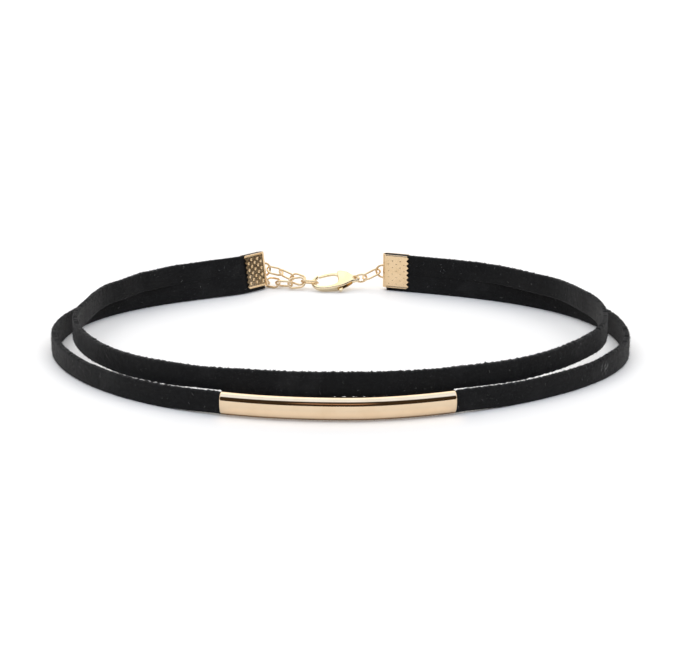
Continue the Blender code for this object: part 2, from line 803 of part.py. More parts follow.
def centre_on_floor():
    # moves everything so that the box's middle is over the origin and its foot at z = 0
    bpy.context.view_layer.update()
    graph = bpy.context.evaluated_depsgraph_get()
    low, high = Vector((1, 1, 1)), Vector((-1, -1, -1))
    for piece in bpy.context.scene.objects:
        if piece.hide_render:
            continue
        shaped = piece.evaluated_get(graph).to_mesh()
        for vert in shaped.vertices:
            place = piece.matrix_world @ vert.co
            low = Vector(map(min, low, place))
            high = Vector(map(max, high, place))
    shift = Vector(((low.x + high.x) / 2, (low.y + high.y) / 2, low.z))
    for piece in bpy.context.scene.objects:
        piece.location -= shift
    bpy.context.view_layer.update()
    print("moved by", -shift, "size", high - low)


for old in list(bpy.data.objects):
    bpy.data.objects.remove(old, do_unlink=True)
make_necklace()
centre_on_floor()
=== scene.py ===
import json
import math
import random

import bmesh
import bpy
from mathutils import Euler, Matrix, Vector

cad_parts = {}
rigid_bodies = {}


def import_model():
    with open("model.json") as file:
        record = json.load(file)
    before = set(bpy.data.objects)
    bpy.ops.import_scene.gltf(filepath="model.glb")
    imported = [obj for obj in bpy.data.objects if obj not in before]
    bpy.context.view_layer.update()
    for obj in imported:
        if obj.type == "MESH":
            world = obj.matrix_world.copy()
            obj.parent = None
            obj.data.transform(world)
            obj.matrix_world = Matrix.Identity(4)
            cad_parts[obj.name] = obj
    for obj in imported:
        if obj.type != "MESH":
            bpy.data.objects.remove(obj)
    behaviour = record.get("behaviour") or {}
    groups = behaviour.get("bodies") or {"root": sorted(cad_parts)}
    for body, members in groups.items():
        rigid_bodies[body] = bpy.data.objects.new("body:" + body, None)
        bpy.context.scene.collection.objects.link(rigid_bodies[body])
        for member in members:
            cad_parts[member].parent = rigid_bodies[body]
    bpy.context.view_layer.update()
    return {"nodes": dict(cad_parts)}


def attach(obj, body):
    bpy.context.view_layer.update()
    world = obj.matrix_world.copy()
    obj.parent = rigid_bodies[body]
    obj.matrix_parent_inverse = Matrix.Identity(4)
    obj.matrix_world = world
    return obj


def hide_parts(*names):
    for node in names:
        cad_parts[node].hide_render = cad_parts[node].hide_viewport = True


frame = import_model()

mm = 0.001
body = "necklace"


# Camera: low in front of the ring, looking at the ring's middle

view = {
    "ringMiddle": Vector((0.0, -0.00344, 0.0)),
    "distance": 0.509,
    "pitch": 17.0,        # degrees below level
    "above": 0.516,       # degrees that the middle lies above the frame's middle line
    "lens": 117.63,
    "sensorWidth": 36.0,
    "clipStart": 0.01,
}


def makeCamera():
    lens = bpy.data.cameras.new("camera")
    lens.lens = view["lens"]
    lens.sensor_width = view["sensorWidth"]
    lens.sensor_fit = "HORIZONTAL"
    lens.clip_start = view["clipStart"]
    camera = bpy.data.objects.new("camera", lens)
    bpy.context.scene.collection.objects.link(camera)
    height = math.radians(view["pitch"] + view["above"])
    back = Vector((0, -math.cos(height), math.sin(height)))
    camera.location = view["ringMiddle"] + view["distance"] * back
    camera.rotation_euler = (math.radians(90 - view["pitch"]), 0, 0)
    bpy.context.scene.camera = camera


makeCamera()
print("camera made")


# Shader helpers

class Wire:
    # one socket's value, with maths on it
    def __init__(self, paint, socket):
        self.paint, self.socket = paint, socket

    def maths(self, operation, *others):
        sockets = dict(enumerate((self,) + others))
        return self.paint.node("ShaderNodeMath", {"operation": operation}, sockets)

    def __add__(self, other):
        return self.maths("ADD", other)

    def __mul__(self, other):
        return self.maths("MULTIPLY", other)

    def __sub__(self, other):
        return self.maths("SUBTRACT", other)

    def __truediv__(self, other):
        return self.maths("DIVIDE", other)

    def above(self, limit):
        return self.maths("GREATER_THAN", limit)

    def ramp(self, low, high, start=0.0, end=1.0):
        # eased change from start to end while the value goes from low to high
        sockets = {"Value": self, "From Min": low, "From Max": high, "To Min": start, "To Max": end}
        return self.paint.node("ShaderNodeMapRange", {"interpolation_type": "SMOOTHSTEP"}, sockets)


class Paint:
    # one material or world tree that is being put together
    def __init__(self, tree):
        self.tree = tree

    def node(self, kind, settings=None, sockets=None, out=0):
        made = self.tree.nodes.new(kind)
        for key, value in (settings or {}).items():
            setattr(made, key, value)
        for key, value in (sockets or {}).items():
            if isinstance(value, Wire):
                self.tree.links.new(value.socket, made.inputs[key])
            else:
                made.inputs[key].default_value = value
        return Wire(self, made.outputs[out])

    def place(self, kind="Object"):
        return self.node("ShaderNodeTexCoord", out=kind)

    def uv(self, name):
        return self.node("ShaderNodeUVMap", {"uv_map": name})

    def split(self, vector, axis):
        return self.node("ShaderNodeSeparateXYZ", None, {0: vector}, out=axis)

    def stretch(self, vector, scale):
        return self.node("ShaderNodeMapping", None, {"Vector": vector, "Scale": scale})

    def noise(self, vector, scale, detail=2.0, roughness=0.5):
        sockets = {"Vector": vector, "Scale": scale, "Detail": detail, "Roughness": roughness}
        return self.node("ShaderNodeTexNoise", None, sockets)

    def cells(self, vector, scale):
        return self.node("ShaderNodeTexVoronoi", None, {"Vector": vector, "Scale": scale})

    def mix(self, share, first, second):
        # blend of two colours, each a wire or a plain colour
        made = self.tree.nodes.new("ShaderNodeMix")
        made.data_type = "RGBA"
        for index, value in ((0, share), (6, first), (7, second)):
            if isinstance(value, Wire):
                self.tree.links.new(value.socket, made.inputs[index])
            else:
                made.inputs[index].default_value = value if index == 0 else (*value[:3], 1)
        return Wire(self, made.outputs[2])

    def bump(self, height, strength, distance):
        sockets = {"Height": height, "Strength": strength, "Distance": distance}
        return self.node("ShaderNodeBump", None, sockets)


def newMaterial(name, constants):
    # a Principled material with its even values set on the shader itself
    material = bpy.data.materials.new(name)
    material.use_nodes = True
    shader = material.node_tree.nodes["Principled BSDF"]
    for key, value in constants.items():
        shader.inputs[key].default_value = value
    return material, Paint(material.node_tree), shader


def feed(paint, shader, values):
    # the shader's varying values, each from a wire
    for key, wire in values.items():
        paint.tree.links.new(wire.socket, shader.inputs[key])


# Studio

studio = {
    "floorColour": (0.915, 0.888, 0.848),
    "floorShade": 0.985,                # how much darker its soft clouds are
    "floorCloud": 9.0,
    "floorSize": 3.0,
    # painted light: a warm glow in the floor's emission, standing in for the light that the polished bar
    # throws on the table just in front of it
    "glowColour": (0.125, 0.095, 0.06),
    "glowFront": -54.0 * mm,            # the bar's foremost line, at its middle
    "glowBend": 82.0 * mm,              # the bar's radius in plan
    "glowReach": 7.0 * mm,
    "glowStart": 0.5 * mm,
    "glowBehind": 3.0 * mm,
    "glowHalf": 25.0 * mm,
    "glowFade": (-1.5 * mm, 2.5 * mm),  # about its half length
    "skyBright": (1.0, 0.985, 0.965),
    "skyStrength": 1.2,
    "canopyColour": (0.95, 1.08, 1.31),  # the cooler part of the sky, in front
    "canopyEdge": (0.05, 0.35),
    "roomColour": (0.042, 0.028, 0.016),
    "roomTop": (0.02, 0.12),
    "roomSlope": 0.5,                   # the room ends this much higher for each unit in front
    "lineColour": (0.58, 0.35, 0.25),   # a far shelf that shows as a fine line in polished metal
    "lineLow": (0.19, 0.23),
    "lineHigh": (0.26, 0.30),
    "lineSide": (0.01, 0.09),           # squares of its reach to the sides
    "keySize": 2.0,
    "keyPower": 4.6,
    "keyPlace": Vector((-0.12, 0.32, 1.17)),
}


def makeStudio():
    scene = bpy.context.scene
    scene.view_settings.view_transform = "Standard"
    half = studio["floorSize"] / 2
    mesh = bpy.data.meshes.new("floor")
    corners = [(-half, -half, 0), (half, -half, 0), (half, half, 0), (-half, half, 0)]
    mesh.from_pydata(corners, [], [(0, 1, 2, 3)])
    floor = bpy.data.objects.new("floor", mesh)
    scene.collection.objects.link(floor)
    material, paint, shader = newMaterial("whiteTable", {
        "Roughness": 0.55, "Specular IOR Level": 0.25, "Emission Strength": 1.0})
    soft = paint.noise(paint.place(), studio["floorCloud"])
    x, y = (paint.split(paint.place(), axis) for axis in range(2))
    # painted light: the floor's emission glows warm in a band just in front of the bar
    ahead = y - (x * x) / (2 * studio["glowBend"]) - studio["glowFront"]
    fade = [studio["glowHalf"] + step for step in studio["glowFade"]]
    glow = (ahead.ramp(-studio["glowReach"], -studio["glowStart"])
            * ahead.ramp(0.0, studio["glowBehind"], 1.0, 0.0) * x.maths("ABSOLUTE").ramp(*fade, 1.0, 0.0))
    shade = [c * studio["floorShade"] for c in studio["floorColour"]]
    feed(paint, shader, {
        "Base Color": paint.mix(soft, studio["floorColour"], shade),
        "Emission Color": paint.mix(glow, (0.0, 0.0, 0.0), studio["glowColour"])})
    mesh.materials.append(material)

    world = bpy.data.worlds.new("studio")
    scene.world = world
    world.use_nodes = True
    paint = Paint(world.node_tree)
    direction = paint.place("Generated")
    x, y, z = (paint.split(direction, axis) for axis in range(3))
    # the room in front is dark and low, and a bright sky with a canopy stands over the table
    above = (z + y * studio["roomSlope"]).ramp(*studio["roomTop"])
    line = (z.ramp(*studio["lineLow"]) * z.ramp(*studio["lineHigh"], 1.0, 0.0)
            * (x * x).ramp(*studio["lineSide"], 1.0, 0.0))
    room = paint.mix(line, studio["roomColour"], studio["lineColour"])
    sky = paint.mix((y * -1.0).ramp(*studio["canopyEdge"]), studio["skyBright"], studio["canopyColour"])
    colour = paint.mix(above, room, sky)
    background = world.node_tree.nodes["Background"]
    feed(paint, background, {"Color": colour})
    background.inputs["Strength"].default_value = studio["skyStrength"]

    data = bpy.data.lights.new("keyLight", "AREA")
    data.shape = "DISK"
    data.size = studio["keySize"]
    data.energy = studio["keyPower"]
    key = bpy.data.objects.new("keyLight", data)
    key.location = studio["keyPlace"]
    key.rotation_euler = (-key.location).to_track_quat("-Z", "Y").to_euler()    # at the ring's middle
    scene.collection.objects.link(key)


makeStudio()
print("studio made")


# The ring's route, as in the frame: four curves between the two clamps

ring = {
    "shift": Vector((-0.00000003, -0.00359417, 0.0)),
    "leftEnd": Vector((-0.0191837, 0.0511225, 0.0)),
    "leftJaw": Vector((-0.0234695, 0.047126, 0.0)),
    "rightEnd": Vector((0.011849, 0.0505322, 0.0)),
    "rightJaw": Vector((0.0173897, 0.0486243, 0.0)),
    "halfWidth": 65.2 * mm,
    "frontDepth": 49.1 * mm,
    "leftCrest": 0.8 * mm,
    "rightCrest": -0.6 * mm,
    "frontCrest": 1.7 * mm,
    "handles": {"leftClamp": 0.12, "leftSideBack": 0.54, "leftSideFront": 0.225, "frontLeft": 0.765,
                "frontRight": 0.350, "rightSideFront": 0.425, "rightSideBack": 0.530, "rightClamp": 0.255},
    "curveSteps": 240,
    "jawSteps": 20,
    "feeler": 0.4 * mm,         # how far to each side a direction is read
}

strap = {
    "width": 4.6 * mm,
    "thickness": 1.3 * mm,
    "corner": 0.38 * mm,
    "facingCorner": 0.07 * mm,  # where the two straps lie on each other
    "stackGap": 0.1 * mm,
    "ringStep": 5.0 * mm,
    "stations": 1000,
    "cornerSteps": 5,
    "faceSteps": 10,
    "edgeSteps": 3,
    "sharpAngle": 50.0,
    "edgeWander": 0.36 * mm,    # how far the cut edges wander from a true line
    "waveSeeds": {"lower": 10, "upper": 20},
    # how many waves, their rates on a metre and their sizes: slow ones, then fine ones
    "waves": ((5, (150, 1500), (0.2, 0.5)), (12, (2200, 9000), (0.5, 1.0))),
    "waveEase": 12,             # the wandering grows over a twelfth of the way from each clamp
    "waveInBar": 0.2,           # the share of it that is left inside the bar
    "parting": 6,               # the straps no longer face each other from a sixth of the inset
    "footShare": 0.1,           # the part of the height that stays on the table
    # painted reflection: the upper strap's dark velvet reaches further down behind the bar, standing in
    # for the dark reflection of the strap in the bar's top
    "paintedReflectionReach": 0.5 * mm,      # how much further down the upper strap reaches behind the bar
    "pileLength": 0.34 * mm,
    "pileRadius": 0.027 * mm,
    "pileDensity": 6.5e6,       # strands on a square metre
    "pileSizes": (0.45, 1.25),
    "pileSpin": 3.0,
    "lintLength": 0.55 * mm,
    "lintRadius": 0.014 * mm,
    "lintDensity": 0.075e6,
    "lintSizes": (0.35, 1.3),
    "lintTurns": ((-0.5, -0.5, -3.1), (0.5, 0.5, 3.1)),
    "lintBend": 0.3,
    "pressed": 0.01 * mm,       # nothing soft reaches further down than this
    # the upper strap's inset in ring steps and height in strap steps, and both straps' lean in degrees
    "run": {
        "columns": ("along", "inset", "height", "lean"),
        "rows": ((0.00, 0.00, 1.00, 10.0), (0.03, 0.00, 1.00, 10.0), (0.07, 0.02, 1.00, 4.0),
                 (0.10, 0.22, 0.99, 1.0), (0.13, 0.47, 0.91, 0.0), (0.19, 0.92, 0.75, 0.0),
                 (0.26, 1.00, 0.64, 0.0), (0.32, 0.85, 0.73, 0.0), (0.38, 0.62, 0.92, 0.0),
                 (0.44, 0.44, 1.08, 0.0), (0.50, 0.36, 1.155, 0.0), (0.56, 0.44, 1.08, 0.0),
                 (0.63, 0.62, 0.91, 0.0), (0.70, 0.85, 0.91, 0.0), (0.75, 1.00, 0.98, 0.0),
                 (0.81, 0.97, 1.00, 0.0), (0.87, 0.52, 0.98, 0.0), (0.93, 0.04, 1.00, 0.0),
                 (1.00, 0.00, 1.00, 0.0)),
    },
    # how far the pile makes each edge stand out, in millimetres
    "standOut": {
        "columns": ("along", "lowerTop", "upperFoot", "upperTop"),
        "rows": ((0.00, 0.05, 0.05, 0.00), (0.08, 0.05, 0.05, 0.02), (0.16, 0.30, 0.15, 0.12),
                 (0.22, 0.70, 0.25, 0.35), (0.27, 0.42, 0.22, 0.28), (0.30, 0.28, 0.15, 0.14),
                 (0.33, 0.28, 0.26, 0.12), (0.375, 0.28, 0.24, 0.14), (0.395, 0.20, 0.00, 0.16),
                 (0.44, 0.24, 0.10, 0.24), (0.50, 0.24, 0.10, 0.16), (0.56, 0.24, 0.10, 0.00),
                 (0.585, 0.28, 0.26, 0.00), (0.615, 0.28, 0.26, 0.02), (0.64, 0.28, 0.12, 0.12),
                 (0.68, 0.30, 0.02, 0.35), (0.705, 0.62, 0.00, 0.52), (0.73, 0.44, 0.00, 0.70),
                 (0.79, 0.65, 0.00, 0.50), (0.86, 0.20, 0.05, 0.15), (0.93, 0.05, 0.05, 0.02),
                 (1.00, 0.05, 0.05, 0.00)),
    },
}

bar = {
    "length": 49.9 * mm,
    "wall": 0.2 * mm,
    "heightClearance": 0.17 * mm,
    "depthClearance": 0.44 * mm,
    "slimmer": 0.12 * mm,       # how much less than the frame's half height is drawn
    "raise": 0.2 * mm,
    "shift": 0.3 * mm,          # its middle lies this much further to the left
    "roundness": 2.08,
    "leadLength": 14.0 * mm,
    "leadStart": 1.4 * mm,
    "freeFrom": 0.1 * mm,       # the strap's edges are free again this far from the bar's end,
    "freeOver": 0.8 * mm,       # and wholly so after this much more
    "stations": 220,
    "innerSkip": 4,             # the inner wall keeps one in so many of them
    "sides": 72,
    "rim": 0.2 * mm,
    "rimBend": 0.3,
    "sharpAngle": 60.0,
}


def smooth(share):
    share = min(max(share, 0.0), 1.0)
    return share * share * (3 - 2 * share)


def readTable(table, along, name):
    # a column's value at this share of the way round, eased from row to row
    column, rows = table["columns"].index(name), table["rows"]
    for low, high in zip(rows, rows[1:]):
        if along <= high[0]:
            share = smooth((along - low[0]) / (high[0] - low[0]))
            return low[column] + (high[column] - low[column]) * share
    return rows[-1][column]


class Route:
    # the plan curve of the straps, read by the distance along it
    def __init__(self):
        shift, half = ring["shift"], ring["halfWidth"]
        handle = {name: share * half for name, share in ring["handles"].items()}
        back, right = Vector((0, 1, 0)), Vector((1, 0, 0))
        left, rightSide = Vector((-half, ring["leftCrest"], 0)), Vector((half, ring["rightCrest"], 0))
        front = Vector((ring["frontCrest"], -ring["frontDepth"], 0))
        leaving = (ring["leftJaw"] - ring["leftEnd"]).normalized()
        arriving = (ring["rightJaw"] - ring["rightEnd"]).normalized()
        curves = (
            (ring["leftJaw"], ring["leftJaw"] + leaving * handle["leftClamp"],
             left + back * handle["leftSideBack"], left),
            (left, left - back * handle["leftSideFront"], front - right * handle["frontLeft"], front),
            (front, front + right * handle["frontRight"],
             rightSide - back * handle["rightSideFront"], rightSide),
            (rightSide, rightSide + back * handle["rightSideBack"],
             ring["rightJaw"] + arriving * handle["rightClamp"], ring["rightJaw"]),
        )
        jawSteps = ring["jawSteps"]
        points = [ring["leftEnd"].lerp(ring["leftJaw"], k / jawSteps) for k in range(jawSteps)]
        for a, b, c, d in curves:
            for step in range(ring["curveSteps"]):
                t = step / ring["curveSteps"]
                s = 1 - t
                points.append(s ** 3 * a + 3 * s * s * t * b + 3 * s * t * t * c + t ** 3 * d)
        points += [ring["rightJaw"].lerp(ring["rightEnd"], k / jawSteps) for k in range(jawSteps + 1)]
        self.points = [point + shift for point in points]
        self.marks = [0.0]
        for before, after in zip(self.points, self.points[1:]):
            self.marks.append(self.marks[-1] + (after - before).length)
        self.length = self.marks[-1]
        frontMost = min(range(len(points)), key=lambda k: points[k].y)
        self.barMiddle = self.marks[frontMost] - ring["frontCrest"] - bar["shift"]
        self.cursor = 1

    def at(self, distance):
        # the point at this distance, looked for from where the last one was found
        distance = min(max(distance, 0.0), self.length)
        marks = self.marks
        k = self.cursor
        while k > 1 and distance < marks[k - 1]:
            k -= 1
        while k < len(marks) - 1 and distance > marks[k]:
            k += 1
        self.cursor = k
        share = (distance - marks[k - 1]) / (marks[k] - marks[k - 1])
        return self.points[k - 1].lerp(self.points[k], share)

    def outward(self, distance):
        ahead = self.at(distance + ring["feeler"]) - self.at(distance - ring["feeler"])
        return Vector((ahead.y, -ahead.x, 0)).normalized()

    def besideBar(self, distance):
        # 0 inside the bar and 1 a little way beyond its ends
        away = abs(distance - self.barMiddle) - bar["length"] / 2
        return smooth((away - bar["freeFrom"]) / bar["freeOver"])

    def lift(self, distance):
        # how far the bar holds the lower strap off the table
        away = abs(distance - self.barMiddle) - bar["length"] / 2
        share = smooth(1 - (away - bar["leadStart"]) / bar["leadLength"])
        return (bar["wall"] + bar["heightClearance"]) * share


route = Route()
print("route length", round(route.length * 1000, 1), "mm")


# Mesh helpers

def newObject(name, shape, material, sharpAngle):
    mesh = bpy.data.meshes.new(name)
    shape.to_mesh(mesh)
    shape.free()
    piece = bpy.data.objects.new(name, mesh)
    bpy.context.scene.collection.objects.link(piece)
    mesh.materials.append(material)
    mesh.shade_smooth()
    mesh.set_sharp_from_angle(angle=math.radians(sharpAngle))
    return piece


def skin(shape, rings, uvName=None, marks=None, across=None, closeRings=False):
    # quads over rings of points, with a UV of metres along and metres across where it is named
    made = [[shape.verts.new(point) for point in points] for points in rings]
    layer = shape.loops.layers.uv.new(uvName) if uvName else None
    size = len(made[0])
    last = len(made) - (0 if closeRings else 1)
    for k in range(last):
        here, there = made[k], made[(k + 1) % len(made)]
        for i in range(size):
            j = (i + 1) % size
            face = shape.faces.new((here[i], here[j], there[j], there[i]))
            if layer:
                spots = ((k, i), (k, i + 1), (k + 1, i + 1), (k + 1, i))
                for loop, (a, b) in zip(face.loops, spots):
                    loop[layer].uv = (marks[a], across[b])
    if not closeRings:
        shape.faces.new(list(reversed(made[0])))
        shape.faces.new(made[-1])


def outward(shape):
    bmesh.ops.recalc_face_normals(shape, faces=shape.faces[:])
    return shape


def frozen(piece, name):
    # the piece with its modifiers applied, as a plain mesh at the origin
    bpy.context.view_layer.update()
    graph = bpy.context.evaluated_depsgraph_get()
    mesh = bpy.data.meshes.new_from_object(piece.evaluated_get(graph), depsgraph=graph)
    mesh.name = name
    made = bpy.data.objects.new(name, mesh)
    bpy.context.scene.collection.objects.link(made)
    bpy.data.objects.remove(piece)
    return made


def settle(piece, slot, *nodes):
    # a piece of the necklace's body, with the solids whose place it takes
    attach(piece, body)
    if nodes:
        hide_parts(*nodes)


# Geometry Nodes helper

class Tree:
    # a Geometry Nodes tree with named inputs
    def __init__(self, name, inputs):
        self.group = bpy.data.node_groups.new(name, "GeometryNodeTree")
        face = self.group.interface
        face.new_socket("Geometry", in_out="OUTPUT", socket_type="NodeSocketGeometry")
        face.new_socket("Geometry", in_out="INPUT", socket_type="NodeSocketGeometry")
        self.ids = {}
        for key, (kind, value) in inputs.items():
            socket = face.new_socket(key, in_out="INPUT", socket_type=kind)
            if kind != "NodeSocketMaterial":
                socket.default_value = value
            self.ids[key] = (socket.identifier, value)
        self.start = self.group.nodes.new("NodeGroupInput")
        self.end = self.group.nodes.new("NodeGroupOutput")

    def given(self, name):
        return self.start.outputs[name]

    def add(self, kind, settings=None, sockets=None, out=0):
        made = self.group.nodes.new(kind)
        for key, value in (settings or {}).items():
            setattr(made, key, value)
        for key, value in (sockets or {}).items():
            if isinstance(value, bpy.types.NodeSocket):
                self.group.links.new(value, made.inputs[key])
            else:
                made.inputs[key].default_value = value
        return made.outputs[out]

    def maths(self, operation, first, second):
        return self.add("ShaderNodeMath", {"operation": operation}, {0: first, 1: second})

    def point(self, x, y, z):
        return self.add("ShaderNodeCombineXYZ", None, {0: x, 1: y, 2: z})

    def scatter(self, strand, low, high, sizes):
        # the strand all over the surface, each copy with its own turn and size
        points = self.group.nodes.new("GeometryNodeDistributePointsOnFaces")
        for key, socket in (("Density", "Density"), ("Seed", "Seed"), ("Geometry", "Mesh")):
            self.group.links.new(self.given(key), points.inputs[socket])
        seed = self.given("Seed")
        lean = self.add("FunctionNodeRandomValue", {"data_type": "FLOAT_VECTOR"},
                        {0: low, 1: high, "Seed": seed})
        turn = self.add("FunctionNodeRotateRotation", {"rotation_space": "LOCAL"},
                        {"Rotation": points.outputs["Rotation"], "Rotate By": lean})
        size = self.add("FunctionNodeRandomValue", {"data_type": "FLOAT"},
                        {2: sizes[0], 3: sizes[1], "Seed": seed}, out=1)
        return self.add("GeometryNodeInstanceOnPoints", None, {
            "Points": points.outputs["Points"], "Instance": strand, "Rotation": turn, "Scale": size})

    def finish(self, geometry):
        real = self.add("GeometryNodeRealizeInstances", None, {"Geometry": geometry})
        painted = self.add("GeometryNodeSetMaterial", None,
                           {"Geometry": real, "Material": self.given("Material")})
        self.group.links.new(painted, self.end.inputs["Geometry"])

    def on(self, piece, values):
        modifier = piece.modifiers.new(self.group.name, "NODES")
        modifier.node_group = self.group
        for key, (identifier, value) in self.ids.items():
            modifier[identifier] = values.get(key, value)


def pointCloud(name, places, turns):
    # a mesh of bare points, each with its own turn
    mesh = bpy.data.meshes.new(name)
    mesh.from_pydata([tuple(place) for place in places], [], [])
    layer = mesh.attributes.new("turn", "FLOAT_VECTOR", "POINT")
    for k, turn in enumerate(turns):
        layer.data[k].vector = turn
    piece = bpy.data.objects.new(name, mesh)
    bpy.context.scene.collection.objects.link(piece)
    return piece


# Materials

velvet = {
    "base": (0.0066, 0.0063, 0.0061),
    "faded": (0.021, 0.0202, 0.0198),
    "speck": (0.12, 0.118, 0.115),
    # noises: scale, detail and roughness
    "brushed": (1.0, 3.0, 0.6),
    "scuffs": (170.0, 3.0, 0.55),
    "nap": (5200.0, 2.0, 0.7),
    "mottle": (1500.0, 3.0, 0.7),
    "clumps": (900.0, 2.0),
    "speckled": (420.0, 0.0),
    "speckScale": 950.0,
    "brushing": (420.0, 1500.0, 1.0),       # how fine it is along the strap and across it
    "bump": (0.8, 0.00016),
}

scuff = {
    "middle": (0.0577, -0.0248, 0.0026),    # on the lower strap's right turn, as in the photo
    "inner": 0.9 * mm,
    "outer": 2.1 * mm,
    "grain": (1900.0, 2.0, 0.6),
    "colour": (0.105, 0.102, 0.099),
}

fibres = {
    # noise scale, its ramp, and the two colours
    "pile": (1800.0, (0.4, 0.7), (0.009, 0.009, 0.0095), (0.045, 0.044, 0.044)),
    "lint": (700.0, (0.35, 0.65), (0.16, 0.155, 0.15), (0.45, 0.44, 0.42)),
}

plating = {
    "cloud": (260.0, 3.0, 0.55),            # the noise that the two colours follow
    "fine": (3.0, 0.65),
    "brushing": (300.0, 300.0, 3200.0),
    "bump": 0.35,
}

golds = {
    # the mirror gold's last value is how high a painted shade reaches up its underside
    "mirror": {"name": "mirrorGold", "colour": (0.79, 0.615, 0.425), "deep": (0.76, 0.58, 0.39),
               "roughness": 0.055, "grain": 900.0, "dents": 0.000004, "paintedShadeHeight": 0.00075},
    "plate": {"name": "paleGold", "colour": (0.82, 0.64, 0.41), "deep": (0.70, 0.51, 0.29),
              "roughness": 0.16, "grain": 2600.0, "dents": 0.00001},
    "flat": {"name": "clampGold", "colour": (0.78, 0.58, 0.355), "deep": (0.68, 0.48, 0.265),
             "roughness": 0.19, "grain": 2600.0, "dents": 0.00003},
    "cast": {"name": "claspGold", "colour": (0.82, 0.68, 0.46), "deep": (0.75, 0.60, 0.37),
             "roughness": 0.15, "grain": 1800.0, "dents": 0.00001},
}


def velvetMaterial():
    material, paint, shader = newMaterial("blackVelvet", {
        "Roughness": 0.92, "Specular IOR Level": 0.18, "Sheen Weight": 0.16, "Sheen Roughness": 0.42,
        "Sheen Tint": (0.74, 0.71, 0.68, 1.0)})
    where = paint.place()
    along = paint.uv("strapUV")
    brushed = paint.noise(paint.stretch(along, velvet["brushing"]), *velvet["brushed"])
    scuffs = paint.noise(where, *velvet["scuffs"]).ramp(0.48, 0.75)
    nap = paint.noise(where, *velvet["nap"])
    mottle = paint.noise(where, *velvet["mottle"]).ramp(0.46, 0.72)
    base = paint.mix(scuffs * 0.45 + mottle * 0.3, velvet["base"], velvet["faded"])
    # the patch that is worn grey
    measure = {0: where, 1: scuff["middle"]}
    away = paint.node("ShaderNodeVectorMath", {"operation": "DISTANCE"}, measure, out=1)
    worn = away.ramp(scuff["inner"], scuff["outer"], 1.0, 0.0)
    base = paint.mix(worn * paint.noise(where, *scuff["grain"]).ramp(0.5, 0.58), base, scuff["colour"])
    # a few pale specks
    specks = paint.cells(where, velvet["speckScale"]).ramp(0.05, 0.11, 1.0, 0.0)
    rare = paint.noise(where, *velvet["speckled"]).above(0.665)
    height = nap * 0.6 + brushed * 0.5 + paint.noise(where, *velvet["clumps"]) * 0.8
    feed(paint, shader, {"Base Color": paint.mix(specks * rare, base, velvet["speck"]),
                         "Roughness": brushed.ramp(0.3, 0.7, 0.84, 0.97),
                         "Normal": paint.bump(height, *velvet["bump"])})
    return material


def fibreMaterial(name, kind, constants):
    scale, edges, dark, pale = fibres[kind]
    material, paint, shader = newMaterial(name, constants)
    shade = paint.noise(paint.place(), scale, 1.0)
    feed(paint, shader, {"Base Color": paint.mix(shade.ramp(*edges), dark, pale)})
    return material


def goldMaterial(name, colour, deep, roughness, grain, dents, paintedShadeHeight=0.0):
    # plated metal: a slightly uneven colour, fine handling marks and soft unevenness, and where a height
    # is given a painted shade on the underside
    material, paint, shader = newMaterial(name, {"Metallic": 1.0})
    where = paint.place()
    cloud = paint.noise(where, *plating["cloud"])
    fine = paint.noise(where, grain, *plating["fine"])
    marks = paint.noise(paint.stretch(where, plating["brushing"]), 1.0)
    plated = paint.mix(cloud.ramp(0.35, 0.75), colour, deep)
    # painted shade: the underside that faces the table is darker up to the given height, standing in for
    # the table's shadow that the polished metal reflects
    under = paint.split(where, 2).ramp(paintedShadeHeight * 0.75, paintedShadeHeight * 1.3, 1.0, 0.0) if paintedShadeHeight else 0.0
    feed(paint, shader, {
        "Base Color": paint.mix(under, plated, [c * 0.5 * c for c in deep]),
        "Roughness": fine.ramp(0.3, 0.75, roughness * 0.75, roughness * 1.35) + marks * (roughness * 0.15),
        "Normal": paint.bump(fine * 0.4 + cloud, plating["bump"], dents)})
    return material


finishes = {
    "velvet": velvetMaterial(),
    "pile": fibreMaterial("velvetPile", "pile", {
        "Roughness": 0.85, "Specular IOR Level": 0.1, "Sheen Weight": 0.15, "Sheen Roughness": 0.5}),
    "lint": fibreMaterial("paleLint", "lint", {"Roughness": 0.8, "Specular IOR Level": 0.2}),
    **{kind: goldMaterial(**values) for kind, values in golds.items()},
}
print("materials made")


# Straps

def strapOutline(footCorner, topCorner):
    # rounded rectangle, round from the foot's outer corner: (across, up)
    half, width = strap["thickness"] / 2, strap["width"]
    # each corner's middle, the angle that its round starts at, and its radius
    corners = (
        (half - footCorner, footCorner, -90, footCorner),
        (half - topCorner, width - topCorner, 0, topCorner),
        (topCorner - half, width - topCorner, 90, topCorner),
        (footCorner - half, footCorner, 180, footCorner),
    )
    points = []
    for k, (x, z, start, corner) in enumerate(corners):
        for step in range(strap["cornerSteps"] + 1):
            turn = math.radians(start + 90 * step / strap["cornerSteps"])
            points.append((x + corner * math.cos(turn), z + corner * math.sin(turn)))
        nextX, nextZ, nextStart, nextCorner = corners[(k + 1) % 4]
        turn = math.radians(nextStart)
        goalX, goalZ = nextX + nextCorner * math.cos(turn), nextZ + nextCorner * math.sin(turn)
        beginX, beginZ = points[-1]
        steps = strap["faceSteps"] if k in (0, 2) else strap["edgeSteps"]
        for step in range(1, steps):
            share = step / steps
            points.append((beginX + (goalX - beginX) * share, beginZ + (goalZ - beginZ) * share))
    return points


def wander(seed):
    # an irregular wave made of a few sines
    dice = random.Random(seed)
    waves = [(dice.uniform(*rates), dice.uniform(0, 6.28), dice.uniform(*sizes))
             for count, rates, sizes in strap["waves"] for _ in range(count)]
    total = sum(size for _, _, size in waves)
    return lambda place: sum(size * math.sin(rate * place + phase) for rate, phase, size in waves) / total


